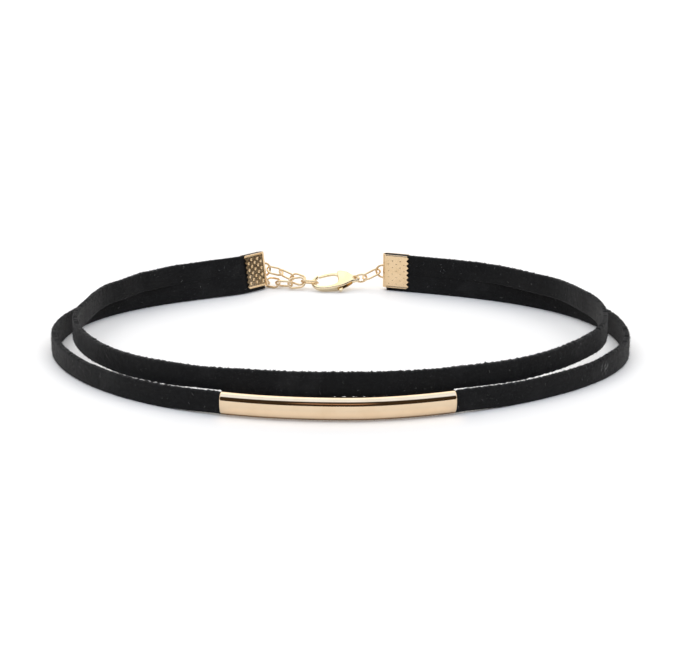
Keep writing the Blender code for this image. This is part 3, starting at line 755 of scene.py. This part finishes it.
def strapRings(upper):
    # the rings of points along the strap, their distances, and the points' distances round it
    count, width = strap["stations"], strap["width"]
    seed = strap["waveSeeds"]["upper" if upper else "lower"]
    waves = [wander(seed + k) for k in range(2)]
    rings, marks = [], []
    for station in range(count + 1):
        along = station / count
        distance = along * route.length
        out = route.outward(distance)
        inset = readTable(strap["run"], along, "inset")
        tilt = math.radians(readTable(strap["run"], along, "lean"))
        up = Vector((0, 0, math.cos(tilt))) + out * math.sin(tilt)
        flat = out * math.cos(tilt) - Vector((0, 0, math.sin(tilt)))
        if upper:
            base = (route.at(distance) - out * strap["ringStep"] * inset
                    + up * (width + strap["stackGap"]) * readTable(strap["run"], along, "height"))
        else:
            base = route.at(distance) + Vector((0, 0, route.lift(distance)))
        foot = base + Vector((0, 0, strap["thickness"] / 2 * math.sin(tilt)))

        # the edges wander less near the clamps, and the lower strap's inside the bar
        free, inBar = route.besideBar(distance), strap["waveInBar"]
        ease = smooth(min(along, 1 - along) * strap["waveEase"])
        if not upper:
            ease *= inBar + (1 - inBar) * free
        drift = [wave(distance) * strap["edgeWander"] * ease for wave in waves]

        # the corners that face the other strap are sharp where the two lie on each other
        together = 1 - smooth(inset * strap["parting"])
        facing = strap["corner"] + (strap["facingCorner"] - strap["corner"]) * together
        outline = strapOutline(facing, strap["corner"]) if upper else strapOutline(strap["corner"], facing)

        lowerTop, upperFoot, upperTop = (readTable(strap["standOut"], along, name) * mm
                                         for name in ("lowerTop", "upperFoot", "upperTop"))
        # the upper strap's foot reaches down behind the bar as dark velvet in place of the bar's dark
        # reflection
        if upper:
            top, bottom = upperTop, -upperFoot - strap["paintedReflectionReach"] * (1 - free)
        else:
            top, bottom = lowerTop * free, 0.0
        ringPoints = []
        for x, z in outline:
            share = z / width
            edge = (bottom + drift[0]) * (1 - share) + (top + drift[1]) * share
            if not upper and share < strap["footShare"]:
                edge = max(edge, 0.0)
            ringPoints.append(foot + flat * x + up * (z + edge))
        rings.append(ringPoints)
        marks.append(distance)
    across = [0.0]
    for a, b in zip(outline, outline[1:] + outline[:1]):
        across.append(across[-1] + math.hypot(b[0] - a[0], b[1] - a[1]))
    return rings, marks, across


def pileTree():
    # short tapering strands that stand on the surface and lean a little each its own way
    tree = Tree("pile strands", {
        "Material": ("NodeSocketMaterial", None), "Length": ("NodeSocketFloat", 0.0002),
        "Radius": ("NodeSocketFloat", 0.00002), "Density": ("NodeSocketFloat", 1e6),
        "Lean": ("NodeSocketFloat", 0.6), "Seed": ("NodeSocketInt", 1)})
    strand = tree.add("GeometryNodeMeshCone", {"fill_type": "NONE"}, {
        "Vertices": 3, "Radius Top": 0.0, "Radius Bottom": tree.given("Radius"),
        "Depth": tree.given("Length")})
    lean = tree.given("Lean")
    less = tree.maths("MULTIPLY", lean, -1.0)
    low, high = tree.point(less, less, -strap["pileSpin"]), tree.point(lean, lean, strap["pileSpin"])
    tree.finish(tree.scatter(strand, low, high, strap["pileSizes"]))
    return tree


def lintTree():
    # thin bent fibres lying on the surface
    tree = Tree("lint fibres", {
        "Material": ("NodeSocketMaterial", None), "Length": ("NodeSocketFloat", 0.0005),
        "Radius": ("NodeSocketFloat", 0.00001), "Density": ("NodeSocketFloat", 1e5),
        "Seed": ("NodeSocketInt", 1)})
    half, less, rise = (tree.maths("MULTIPLY", tree.given("Length"), share)
                        for share in (0.5, -0.5, strap["lintBend"]))
    curve = tree.add("GeometryNodeCurveQuadraticBezier", None, {
        "Resolution": 4, "Start": tree.point(less, 0.0, 0.0), "Middle": tree.point(0.0, rise, rise),
        "End": tree.point(half, 0.0, 0.0)})
    profile = tree.add("GeometryNodeCurvePrimitiveCircle", None,
                       {"Resolution": 3, "Radius": tree.given("Radius")})
    fibre = tree.add("GeometryNodeCurveToMesh", None,
                     {"Curve": curve, "Profile Curve": profile, "Fill Caps": True})
    tree.finish(tree.scatter(fibre, *strap["lintTurns"], strap["lintSizes"]))
    return tree


def makeStrap(name, node, upper, seed, pile, lint):
    rings, marks, across = strapRings(upper)
    shape = bmesh.new()
    skin(shape, rings, "strapUV", marks, across)
    piece = newObject(name, outward(shape), finishes["velvet"], strap["sharpAngle"])
    for tree, kind in ((pile, "pile"), (lint, "lint")):
        source = bpy.data.objects.new(name + kind.title() + "Source", piece.data.copy())
        bpy.context.scene.collection.objects.link(source)
        values = {key: strap[kind + key] for key in ("Length", "Radius", "Density")}
        tree.on(source, {**values, "Material": finishes[kind], "Seed": seed})
        soft = frozen(source, name + kind.title())
        for vertex in soft.data.vertices:
            vertex.co.z = max(vertex.co.z, strap["pressed"])     # pressed flat by the table
        settle(soft, "black_velvet")
    settle(piece, "black_velvet", node)


pile, lint = pileTree(), lintTree()
makeStrap("lowerStrap", "lower_strap", upper=False, seed=3, pile=pile, lint=lint)
makeStrap("upperStrap", "upper_strap", upper=True, seed=8, pile=pile, lint=lint)
print("straps made")


# Bar

def barOutline(halfDepth, halfHeight):
    # an oval that is a little squarer than an ellipse
    points, power = [], 2 / bar["roundness"]
    for step in range(bar["sides"]):
        turn = 2 * math.pi * step / bar["sides"]
        across, rise = math.cos(turn), math.sin(turn)
        points.append((math.copysign(halfDepth * abs(across) ** power, across),
                       math.copysign(halfHeight * abs(rise) ** power, rise)))
    return points


def makeBar():
    wall, rim = bar["wall"], bar["rim"]
    bend = rim * bar["rimBend"]
    halfDepth = strap["thickness"] / 2 + bar["depthClearance"] + wall
    halfHeight = strap["width"] / 2 + bar["heightClearance"] + wall
    drawnHeight = halfHeight - bar["slimmer"]
    half = bar["length"] / 2
    # outer wall, rounded rims and inner wall as one run of rings: (place along, how far drawn in)
    stations = [(-half, wall / 2), (-half + bend, bend), (-half + rim, 0.0)]
    for step in range(1, bar["stations"]):
        stations.append((-half + bar["length"] * step / bar["stations"], 0.0))
    stations += [(half - rim, 0.0), (half - bend, bend), (half, wall / 2)]
    stations += [(half - bend, wall - bend), (half - rim, wall)]
    for step in range(bar["stations"] - 1, 0, -1):
        if step % bar["innerSkip"] == 0:
            stations.append((-half + bar["length"] * step / bar["stations"], wall))
    stations += [(-half + rim, wall), (-half + bend, wall - bend)]
    rings = []
    for along, drawn in stations:
        distance = route.barMiddle + along
        out = route.outward(distance)
        centre = route.at(distance) + Vector((0, 0, halfHeight + bar["raise"] / 2))
        rings.append([centre + out * x + Vector((0, 0, z))
                      for x, z in barOutline(halfDepth - drawn, drawnHeight - drawn)])
    shape = bmesh.new()
    skin(shape, rings, closeRings=True)
    piece = newObject("tubeBar", outward(shape), finishes["mirror"], bar["sharpAngle"])
    settle(piece, "mirror_gold", "tube_bar")


makeBar()
print("bar made")


# Clamps

clamp = {
    "length": 7.0 * mm,
    "height": 8.4 * mm,
    "raise": 0.45 * mm,
    "plate": 0.34 * mm,
    "gripClearance": 0.15 * mm,
    "tooth": 0.6 * mm,
    "teeth": 7,
    "toothReach": 2.2,           # teeth's lengths over which the plate is drawn out to them
    "cell": 0.085 * mm,          # size of the mesh's cells on the flaps
    "foldSteps": 14,
    "rimWidth": 0.44 * mm,
    "rimHeight": 0.08 * mm,
    "sharpAngle": 48.0,
    "firstColumn": 0.6,          # column steps from the teeth to the first dimples' middles
    "columnRoom": 0.3,           # and what is left over by the fold
    # deep bright dimples on the left one, fine shallow ones on the right one
    "left_clamp": {"depth": 0.12 * mm, "radius": 0.34 * mm, "columns": 5, "rows": 4},
    "right_clamp": {"depth": 0.04 * mm, "radius": 0.34 * mm, "columns": 5, "rows": 4},
    "loopReach": 2.05 * mm,
    "loopHalfHeight": 1.85 * mm,
    "loopWire": 0.27 * mm,
    "loopSteps": 28,
    "wireSides": 12,
}

clampPlaces = {
    "left_clamp": Matrix(((0.731354, -0.671637, -0.118428, -0.018901),
                          (0.681998, 0.720243, 0.126998, 0.052491),
                          (0.0, -0.173648, 0.984808, 0.004692), (0, 0, 0, 1))),
    "right_clamp": Matrix(((-0.945519, -0.325568, 0.0, 0.010771),
                           (0.325568, -0.945519, 0.0, 0.050903),
                           (0.0, 0.0, 1.0, 0.00465), (0, 0, 0, 1))),
}


def pressedAt(look, x, z, reach):
    # how far the plate is pressed in at this spot of a flap, less the raised rims along its edges
    flapEnd = -(clamp["length"] - clamp["tooth"])
    tall = clamp["height"] - 2 * clamp["rimWidth"]
    columnStep = (-reach - flapEnd) / (look["columns"] + clamp["columnRoom"])
    rowStep = tall / (look["rows"] + 0.5)
    deepest = 0.0
    for column in range(look["columns"]):
        middleX = flapEnd + (column + clamp["firstColumn"]) * columnStep
        for row in range(look["rows"]):
            middleZ = -tall / 2 + (row + 0.5 + 0.5 * (column % 2)) * rowStep
            away = math.hypot(x - middleX, z - middleZ) / look["radius"]
            if away < 1:
                deepest = max(deepest, (1 - away * away) ** 2)
    edge = (clamp["height"] / 2 - abs(z)) / clamp["rimWidth"]
    rim = math.sin(math.pi * edge) ** 2 if edge < 1 else 0.0
    return deepest * look["depth"] - rim * clamp["rimHeight"]


def clampStations(radius, reach, across):
    # one flap, the fold and the other flap, from above: place, and the way out of the plate
    flapEnd = -(clamp["length"] - clamp["tooth"])
    stations = [(flapEnd + (-reach - flapEnd) * k / across, -radius, 0, -1) for k in range(across)]
    for step in range(clamp["foldSteps"] + 1):
        turn = math.pi * (step / clamp["foldSteps"] - 0.5)
        stations.append((-reach + radius * math.cos(turn), radius * math.sin(turn),
                         math.cos(turn), math.sin(turn)))
    return stations + [(x, -y, nx, -ny) for x, y, nx, ny in reversed(stations[:across])]


def clampLoop(matrix):
    # the soldered loop, half an oval of round wire
    wire, inward = clamp["loopWire"], clamp["plate"] / 2
    reach = clamp["loopReach"] - wire + inward
    half = clamp["loopHalfHeight"] - wire
    through = Vector((0, 1, 0))
    turns = [2 * math.pi * k / clamp["wireSides"] for k in range(clamp["wireSides"])]
    rings = []
    for step in range(clamp["loopSteps"] + 1):
        turn = math.pi * (step / clamp["loopSteps"] - 0.5)
        centre = Vector((reach * math.cos(turn) - inward, 0, half * math.sin(turn)))
        ahead = Vector((-reach * math.sin(turn), 0, half * math.cos(turn))).normalized()
        side = through.cross(ahead)
        rings.append([matrix @ (centre + wire * (math.cos(a) * side + math.sin(a) * through))
                      for a in turns])
    shape = bmesh.new()
    skin(shape, rings)
    mesh = bpy.data.meshes.new("loop")
    outward(shape).to_mesh(mesh)
    shape.free()
    return mesh


def makeClamp(node):
    matrix = clampPlaces[node].copy()
    matrix.translation = matrix.translation + ring["shift"]
    plate, height = clamp["plate"], clamp["height"]
    radius = (strap["thickness"] + 2 * clamp["gripClearance"]) / 2 + plate / 2
    reach = radius + plate / 2
    across = int((clamp["length"] - clamp["tooth"] - reach) / clamp["cell"])
    rows = int(height / clamp["cell"] / (2 * clamp["teeth"])) * 2 * clamp["teeth"]
    stations = clampStations(radius, reach, across)
    last = len(stations) - 1
    shape = bmesh.new()
    sheets = []
    for side in (1, -1):
        sheet = []
        for number, (x, y, nx, ny) in enumerate(stations):
            edge = min(number, last - number)
            pull = max(0.0, 1 - edge * clamp["cell"] / (clamp["toothReach"] * clamp["tooth"]))
            column = []
            for row in range(rows + 1):
                z = height * (row / rows - 0.5)
                share = row / rows * clamp["teeth"]
                tooth = clamp["tooth"] * (1 - abs(2 * (share % 1) - 1)) * pull
                pressed = pressedAt(clamp[node], x - tooth, z, reach) if edge < across else 0.0
                offset = side * plate / 2 - (pressed if side > 0 else max(pressed, 0.0))
                place = Vector((x - tooth + nx * offset, y + ny * offset, z + clamp["raise"]))
                column.append(shape.verts.new(matrix @ place))
            sheet.append(column)
        sheets.append(sheet)
    outer, inner = sheets
    for i in range(last):
        for j in range(rows):
            shape.faces.new((outer[i][j], outer[i + 1][j], outer[i + 1][j + 1], outer[i][j + 1]))
            shape.faces.new((inner[i][j], inner[i][j + 1], inner[i + 1][j + 1], inner[i + 1][j]))
        for j in (0, rows):
            shape.faces.new((outer[i][j], inner[i][j], inner[i + 1][j], outer[i + 1][j]))
    for i in (0, last):
        for j in range(rows):
            shape.faces.new((outer[i][j], outer[i][j + 1], inner[i][j + 1], inner[i][j]))
    outward(shape).from_mesh(clampLoop(matrix))
    name = "leftClamp" if node.startswith("left") else "rightClamp"
    settle(newObject(name, shape, finishes["flat"], clamp["sharpAngle"]), "pale_gold", node)


makeClamp("left_clamp")
makeClamp("right_clamp")
print("clamps made")


# Chain, ring and right link

chain = {
    "length": 4.7 * mm,
    "width": 3.1 * mm,
    "wire": 0.27 * mm,
    "rightLength": 5.2 * mm,
    "ringRadius": 1.4 * mm,
    "wireSides": 14,
    "roundSteps": 14,
    # node, middle in millimetres, turn in degrees
    "links": (
        ("chain_link_1", (-16.376, 53.728, 3.964), (28, 16, 14)),
        ("chain_link_2", (-13.431, 53.447, 3.034), (124, 17, -25)),
        ("chain_link_3", (-10.603, 51.908, 2.304), (48, 8.5, -32)),
        ("chain_link_4", (-7.592, 50.356, 2.003), (152, 2, -10)),
        ("tail_link_1", (-10.857, 50.358, 1.801), (-58, 171, -4)),
        ("tail_link_2", (-14.038, 51.036, 1.398), (42, 5, 160)),
        ("tail_link_3", (-16.945, 52.55, 1.254), (-45, -180, -35)),
        ("tail_link_4", (-19.497, 54.654, 1.254), (45, 0, 136)),
        ("tail_link_5", (-22.276, 56.195, 1.254), (-45, -180, -14)),
        ("tail_link_6", (-25.454, 56.139, 1.254), (45, 0, -164)),
        ("tail_link_7", (-28.511, 54.904, 1.254), (-45, -180, 28)),
    ),
    "rightLink": ("right_link", (7.877, 50.771, 3.899), (12, -22.66, 19)),
    "ring": ("clasp_ring", (5.254, 50.184, 3.065)),
}


def linkTree():
    # a stadium of round wire on every point of the input, turned by the point's own turn
    tree = Tree("chain links", {
        "Material": ("NodeSocketMaterial", None), "Length": ("NodeSocketFloat", 0.0047),
        "Width": ("NodeSocketFloat", 0.003), "Wire": ("NodeSocketFloat", 0.0003),
        "Sides": ("NodeSocketInt", 12), "Round Steps": ("NodeSocketInt", 12)})
    double = tree.maths("MULTIPLY", tree.given("Wire"), 2.0)
    length = tree.maths("SUBTRACT", tree.given("Length"), double)
    width = tree.maths("SUBTRACT", tree.given("Width"), double)
    radius = tree.maths("MULTIPLY", width, 0.499)      # just under half, so that the rounds don't meet
    outline = tree.add("GeometryNodeCurvePrimitiveQuadrilateral", {"mode": "RECTANGLE"},
                       {"Width": length, "Height": width})
    rounded = tree.add("GeometryNodeFilletCurve", {"mode": "POLY"}, {
        "Curve": outline, "Count": tree.given("Round Steps"), "Radius": radius, "Limit Radius": True})
    profile = tree.add("GeometryNodeCurvePrimitiveCircle", None,
                       {"Resolution": tree.given("Sides"), "Radius": tree.given("Wire")})
    link = tree.add("GeometryNodeCurveToMesh", None, {"Curve": rounded, "Profile Curve": profile})
    turn = tree.add("GeometryNodeInputNamedAttribute", {"data_type": "FLOAT_VECTOR"}, {"Name": "turn"})
    placed = tree.add("GeometryNodeInstanceOnPoints", None,
                      {"Points": tree.given("Geometry"), "Instance": link, "Rotation": turn})
    tree.finish(placed)
    return tree


def makeLinks(tree, name, rows, values):
    places = [Vector(place) * mm + ring["shift"] for _, place, _ in rows]
    turns = [tuple(math.radians(angle) for angle in turn) for _, _, turn in rows]
    cloud = pointCloud(name + "Points", places, turns)
    tree.on(cloud, {**values, "Material": finishes["plate"], "Sides": chain["wireSides"],
                    "Round Steps": chain["roundSteps"], "Wire": chain["wire"]})
    piece = frozen(cloud, name)
    piece.data.shade_smooth()
    settle(piece, "pale_gold", *[row[0] for row in rows])


def makeChain():
    tree = linkTree()
    makeLinks(tree, "chainLinks", chain["links"], {"Length": chain["length"], "Width": chain["width"]})
    makeLinks(tree, "rightLink", [chain["rightLink"]],
              {"Length": chain["rightLength"], "Width": chain["width"]})
    # the jump ring is a link as wide as it is long, square to the clasp
    node, place = chain["ring"]
    turn = clasp["turn"] @ Euler((math.radians(90), 0, 0)).to_matrix()
    across = 2 * (chain["ringRadius"] + chain["wire"])
    angles = tuple(math.degrees(a) for a in turn.to_euler())
    makeLinks(tree, "claspRing", [(node, place, angles)], {"Length": across, "Width": across})


# Clasp and lever: the frame's solids, softened as a casting is

clasp = {
    "turn": Matrix(((0.99437, -0.072624, -0.077157), (0.017357, 0.829978, -0.557526),
                    (0.104528, 0.553048, 0.826566))),
    "weld": 0.000002,            # how close points have to lie to be made one
    "voxel": 0.075 * mm,
    "softFactor": 0.5,
    "softening": {"clasp_body": 5, "clasp_lever": 3},    # how many times over
    "tipReach": 0.2 * mm,        # the gate's end drawn out to the hook's nose
    "tipLength": 1.2 * mm,
}


def makeCasting(node, name, bodyName):
    source = frame["nodes"][node]
    copy = bpy.data.objects.new(name + "Source", source.data.copy())
    bpy.context.scene.collection.objects.link(copy)
    shape = bmesh.new()
    shape.from_mesh(copy.data)
    bmesh.ops.remove_doubles(shape, verts=shape.verts[:], dist=clasp["weld"])
    outward(shape)
    shape.to_mesh(copy.data)
    shape.free()
    copy.data.materials.clear()
    copy.data.materials.append(finishes["cast"])
    remesh = copy.modifiers.new("remesh", "REMESH")
    remesh.mode = "VOXEL"
    remesh.voxel_size = clasp["voxel"]
    soften = copy.modifiers.new("soften", "SMOOTH")
    soften.factor = clasp["softFactor"]
    soften.iterations = clasp["softening"][node]
    piece = frozen(copy, name)
    if node == "clasp_lever":
        ahead = clasp["turn"].col[0]
        tip = min(vertex.co.dot(ahead) for vertex in piece.data.vertices)
        for vertex in piece.data.vertices:
            share = smooth(1 - (vertex.co.dot(ahead) - tip) / clasp["tipLength"])
            vertex.co -= ahead * clasp["tipReach"] * share
    piece.data.shade_smooth()
    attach(piece, bodyName)
    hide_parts(node)


makeChain()
print("chain made")
makeCasting("clasp_body", "claspBody", body)
makeCasting("clasp_lever", "claspLever", "lever")
print("clasp made")
